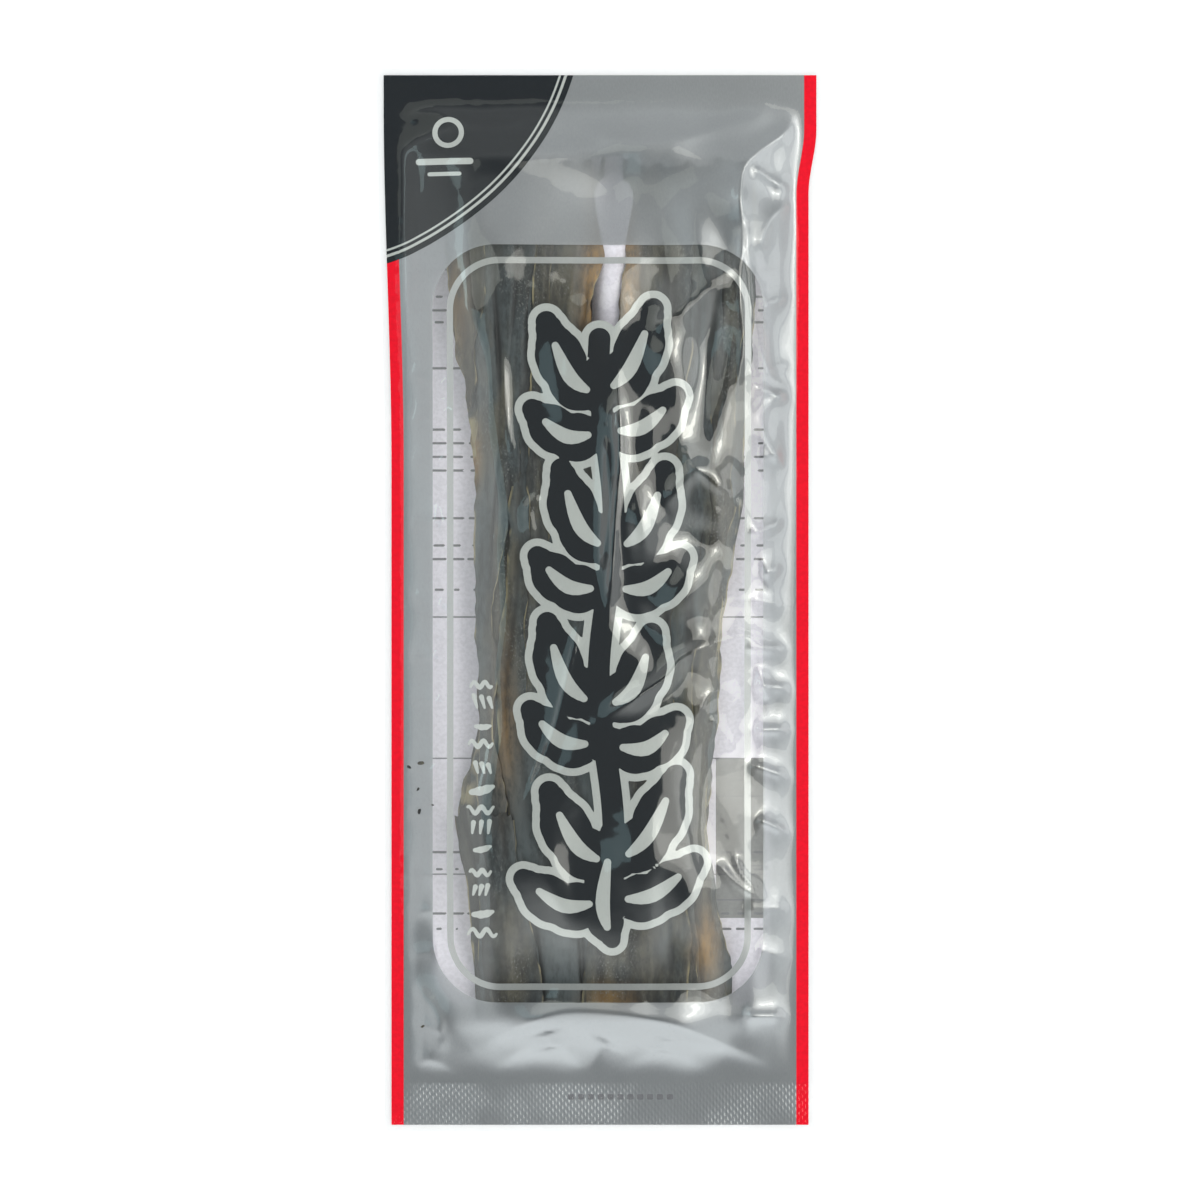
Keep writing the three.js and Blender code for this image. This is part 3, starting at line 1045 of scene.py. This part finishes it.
def strip_relief(share, width, y, seed):
    """Lengthwise folds, ribs and slow waves of a dried blade."""
    rng = np.random.default_rng(seed)
    across = share * width
    relief = np.zeros(np.shape(y))
    for _ in range(int(3 + width.max() / 3.2)):
        place = rng.uniform(0.03, 0.97) * width.max()
        wander = rng.uniform(0.3, 1.3) * slow_wave(rng, y, (50, 150))
        fold_width = rng.uniform(0.5, 1.6)
        depth = rng.uniform(-1.1, 0.55) * (0.6 + 0.4 * slow_wave(rng, y, (40, 110)))
        relief += depth * np.exp(-(((across - place - wander) / fold_width) ** 2))
    relief += 0.35 * lattice_noise(across, y, (3.2, 15), seed + 7)
    return relief + 0.12 * lattice_noise(across, y, (1.3, 6), seed + 8)


def blade_plan(left, right, ends, seed, share, along):
    """A blade from above, with torn ends and wavering sides, and its width at each place."""
    end = ends[1] + ragged(share, seed, TORN["top"])
    start = ends[0] + ragged(share, seed + 50, TORN["foot"])
    y = start + (end - start) * along
    x_left = through_stations(left, y)
    width = through_stations(right, y) - x_left
    waves = (reach * lattice_noise(y, 0 * y, (length, 1), seed + own) for reach, length, own in RUFFLES)
    return x_left + width * share + sum(waves) * np.abs(2 * share - 1) ** 3, y, width


def add_kelp(name, ends, layer, left, right, seed, grid, material, shape):
    """One blade: a closed slab of changing width with a folded top, under the film."""
    columns, rows = grid
    share, along = np.meshgrid(np.linspace(0, 1, columns), np.linspace(0, 1, rows))
    x, y, width = blade_plan(left, right, ends, seed, share, along)
    relief = np.minimum(strip_relief(share, width, y, seed), HIGHEST_FOLD)
    roof = film_plain(x, y) - FILM_CLEARANCE - LAYER_STEP * layer - HIGHEST_FOLD
    ceiling = shape.height_at(x, y) - FILM_CLEARANCE - CREASE_CLEARANCE * layer
    rim = np.minimum(share, 1 - share) * width
    rounding = KELP_ROUNDING * (1 - smoothstep(rim))
    upper = np.minimum(roof + relief - rounding, ceiling)
    upper = np.maximum(upper, BACK_HEIGHT + LOWEST["upper"])
    lower = np.maximum(upper - KELP_THICKNESS + 2 * rounding, BACK_HEIGHT + LOWEST["lower"])
    points = np.concatenate([np.stack([x, y, z], axis=-1).reshape(-1, 3) for z in (upper, lower)])
    piece = add_piece(name, points, closed_slab_faces(rows, columns), material)
    own_tone = np.random.default_rng(seed + 30).uniform(-1, 1)
    looks = {
        "cut_edge": 1 - smoothstep((rim - 0.05) / CUT_EDGE),
        # where painted shade darkens the kelp: low places of the fold relief
        "fold_shade": smoothstep((0.1 - relief) / 0.8),
        "amber": np.clip(sum(swell(x, y, *spot) for spot in AMBER_SPOTS), 0, 1),
        "tone": np.clip(0.9 * own_tone + 0.6 * lattice_noise(x, y, (14, 60), 5), -1, 1),
    }
    for look, values in looks.items():
        set_attribute(piece, look, np.tile(values.ravel(), 2))


def film_plain(x, y):
    """The front film without its creases, which the kelp lies under."""
    return RIM_HEIGHT + bundle_height(x, y)


def closed_slab_faces(rows, columns):
    upper = grid_faces(rows, columns)
    lower = upper[:, ::-1] + rows * columns
    index = np.arange(rows * columns).reshape(rows, columns)
    rim = np.concatenate([index[0], index[1:, -1], index[-1, -2::-1], index[-2:0:-1, 0]])
    following = np.roll(rim, -1)
    below = rows * columns
    wall = np.stack([rim, rim + below, following + below, following], axis=1)
    return np.concatenate([upper, lower, wall])


GAP_FOLD = {"x": 4.2, "half_width": 6.5, "from": 58, "to": 131, "height": 9.0, "drop": 5.0}


def add_gap_fold(material, shape):
    """The back film drawn up between the two groups of strips, seen through the gap at the top."""
    rows, columns = 60, 24
    across, along = np.meshgrid(np.linspace(-1, 1, columns), np.linspace(0, 1, rows))
    x = GAP_FOLD["x"] + GAP_FOLD["half_width"] * across
    y = GAP_FOLD["from"] + (GAP_FOLD["to"] - GAP_FOLD["from"]) * along
    ends = smoothstep(along / 0.3) * smoothstep((1 - along) / 0.2)
    z = BACK_HEIGHT + (GAP_FOLD["height"] - GAP_FOLD["drop"] * across**2) * ends
    z = np.minimum(z, shape.height_at(x, y) - FILM_CLEARANCE)
    points = np.stack([x, y, z], axis=-1).reshape(-1, 3)
    add_piece("print_back_fold", points, grid_faces(rows, columns), material)


CRUMBS = [
    # Where each fleck lies, its length and its turn in degrees.
    ((-52.5, -47.8), 2.2, 10),
    ((-56, -49), 1.5, -30),
    ((-53.4, -55.5), 1.1, 60),
    ((-53, -62), 1.7, 75),
    ((-49, -60), 0.9, 0),
    ((-52, -125), 1.3, 25),
]


def add_crumbs(material, shape):
    """Flecks of broken kelp that cling to the film at its left margin."""
    rng = np.random.default_rng(8)
    ball = bmesh.new()
    bmesh.ops.create_icosphere(ball, subdivisions=2, radius=0.5)
    round_points = np.array([tuple(vertex.co) for vertex in ball.verts])
    round_faces = np.array([[vertex.index for vertex in face.verts] for face in ball.faces])
    ball.free()
    points = []
    faces = []
    for number, ((x, y), length, turn) in enumerate(CRUMBS):
        dents = rng.uniform(0.75, 1.15, (len(round_points), 1))
        flake = round_points * (length, 0.55 * length, 0.3) * dents
        across, along = turned(flake[:, 0], flake[:, 1], turn)
        across += x
        along += y
        height = flake[:, 2] + shape.height_at(across, along)
        points.append(np.stack([across, along, height], axis=1))
        faces.append(round_faces + number * len(round_points))
    add_piece("kelp_crumbs", np.concatenate(points), np.concatenate(faces), material)


def add_bundle(material, shape):
    for seed, (name, strip) in enumerate(STRIPS.items(), start=1):
        add_kelp(name, *strip, seed, STRIP_GRID, material, shape)
    for layer in UNDER_LAYERS:
        rng = np.random.default_rng(100 + layer)
        left = [(y, x + rng.uniform(0, 1.6)) for y, x in BUNDLE_LEFT]
        right = [(y, x - rng.uniform(0, 1.6)) for y, x in BUNDLE_RIGHT]
        recess = UNDER_RECESS * (layer - 1)
        gap_left = [(20, 5.5), (60, 4.2), (84, -1.5 - recess), (104, 1.6 - recess), (131, 2 - recess)]
        gap_right = [(20, 5.7), (60, 5.5), (84, 6.4 + recess), (104, 7.8 + recess), (131, 7 + recess)]
        ends = (BUNDLE_FOOT + rng.uniform(0, 2), KELP_TOP - rng.uniform(0, 7))
        for side, sides in (("left", (left, gap_left)), ("right", (gap_right, right))):
            seed = 100 + 20 * (side == "right") + layer
            add_kelp(f"kelp_under_{side}_{layer}", ends, layer, *sides, seed, UNDER_GRID, material, shape)


# ---- The studio ----
CAMERA_HEIGHT = 1.5
VIEW_WIDTH = 0.3522
SENSOR = 36.0
SOFTBOX = {"direction": (23, 58), "distance": 1.2, "ring_step": 0.01, "colour": (1.0, 0.985, 0.94)}
SOFTBOX_RINGS = [
    # Size and added radiance of each nested panel: the box is brightest at its middle.
    ((0.9, 0.76), 1.05),
    ((0.56, 0.48), 0.55),
    ((0.34, 0.3), 1.1),
    ((0.14, 0.14), 3.2),
]
PANEL_DISTANCE = 1.3
PANELS = {
    # Azimuth and elevation in degrees, size, radiance and colour.
    "side_panel": ((5, 24), (1.0, 0.4), 0.7, (1, 1, 1)),
    "window_panel": ((150, 48), (0.7, 0.12), 1.1, (0.7, 0.95, 1.0)),
    "sky_panel": ((178, 70), (0.34, 0.5), 0.42, (0.6, 0.9, 1.0)),
    "head_panel": ((122, 67), (0.5, 0.34), 0.5, (0.96, 1.0, 0.93)),
}
DOME = [
    # The dome's brightness, a product of grades: an axis, a span along it and the levels at its ends.
    ("Z", (0.79, 0.98), (1.0, 0.13)),
    ("Y", (0.25, 0.7), (1.0, 0.62)),
    ("Y", (-0.82, -0.5), (1.7, 1.0)),
    ("X", (-0.75, -0.15), (0.88, 1.0)),
]


def add_camera():
    camera = bpy.data.cameras.new("camera")
    camera.sensor_width = SENSOR
    camera.lens = SENSOR * CAMERA_HEIGHT / VIEW_WIDTH
    holder = new_object("camera", camera)
    holder.location = (0, 0, CAMERA_HEIGHT)
    bpy.context.scene.camera = holder


def add_floor():
    bpy.ops.mesh.primitive_plane_add(size=6, location=(0, 0, -0.0005))
    floor = bpy.context.object
    floor.name = "floor"
    glow = {"Emission Color": (1, 1, 1, 1), "Emission Strength": 0.22}
    nodes = Material("floor", {"Base Color": (0.93, 0.93, 0.93, 1), "Roughness": 0.9, **glow})
    floor.data.materials.append(nodes.material)


def add_panel(name, direction, distance, size, radiance, colour):
    """A soft rectangular light facing the pouch, of a stated brightness."""
    light = bpy.data.lights.new(name, "AREA")
    light.shape = "RECTANGLE"
    light.size, light.size_y = size
    light.energy = radiance * math.pi * size[0] * size[1]
    light.color = colour
    holder = new_object(name, light)
    azimuth, elevation = (math.radians(angle) for angle in direction)
    level = math.cos(elevation)
    place = Vector((level * math.cos(azimuth), level * math.sin(azimuth), math.sin(elevation)))
    holder.location = place * distance
    holder.rotation_euler = place.to_track_quat("Z", "Y").to_euler()


def add_dome():
    """Soft light from all round: brightest beyond the foot, dim straight above, where the camera is."""
    world = bpy.data.worlds.new("world")
    nodes = Nodes(world)
    direction = nodes.add("SeparateXYZ", {0: nodes.add("TexCoord").outputs["Generated"]}).outputs
    strength = 1.0
    for axis, (low, high), levels in DOME:
        strength = nodes.times(strength, nodes.ramp(direction[axis], low, high, levels))
    background = nodes.tree.nodes["Background"]
    nodes.feed(background.inputs["Color"], (0.95, 0.98, 1.0, 1))
    nodes.feed(background.inputs["Strength"], strength)
    bpy.context.scene.world = world


def add_studio():
    add_camera()
    add_floor()
    for ring, (size, radiance) in enumerate(SOFTBOX_RINGS):
        distance = SOFTBOX["distance"] - SOFTBOX["ring_step"] * ring
        add_panel(f"softbox_{ring}", SOFTBOX["direction"], distance, size, radiance, SOFTBOX["colour"])
    for name, (direction, *panel) in PANELS.items():
        add_panel(name, direction, PANEL_DISTANCE, *panel)
    add_dome()
    bpy.context.scene.view_settings.view_transform = "Standard"


def main():
    add_studio()
    silver = silver_ink("silver_ink", (0.43, 0.45, 0.46), 0.77, 0.8)
    white = plain_ink("white_ink", (0.97, 0.935, 1.0))
    grey = plain_ink("grey_ink", (0.2, 0.2, 0.21))
    front = {
        "silver": silver,
        "line": silver_ink("pale_silver_ink", (0.62, 0.65, 0.61), 0.95, 0.25),
        "frame": silver_ink("bright_silver_ink", (0.5, 0.52, 0.5), 0.9, 0.62),
        "black": plain_ink("black_ink", (0.008, 0.012, 0.016), alpha=0.97),
        "red": plain_ink("red_ink", (1.0, 0.0, 0.02)),
        "grey": grey,
    }
    back = {
        "silver": silver,
        "white": white,
        "table": plain_ink("pale_grey_ink", (0.27, 0.27, 0.26)),
        "grey": grey,
    }
    film = clear_film()
    shape = FilmShape()
    add_film("film_front", shape, FILM_STEP, film)
    add_film("film_back", FlatShape(), BACK_FILM_STEP, film)
    ink_layers("print_front", front_fields, front_inks, shape, front)
    ink_layers("print_back", back_fields, back_inks, FlatShape(), back)
    add_gap_fold(white, shape)
    kelp = kelp_skin()
    add_bundle(kelp, shape)
    add_crumbs(kelp, shape)


main()
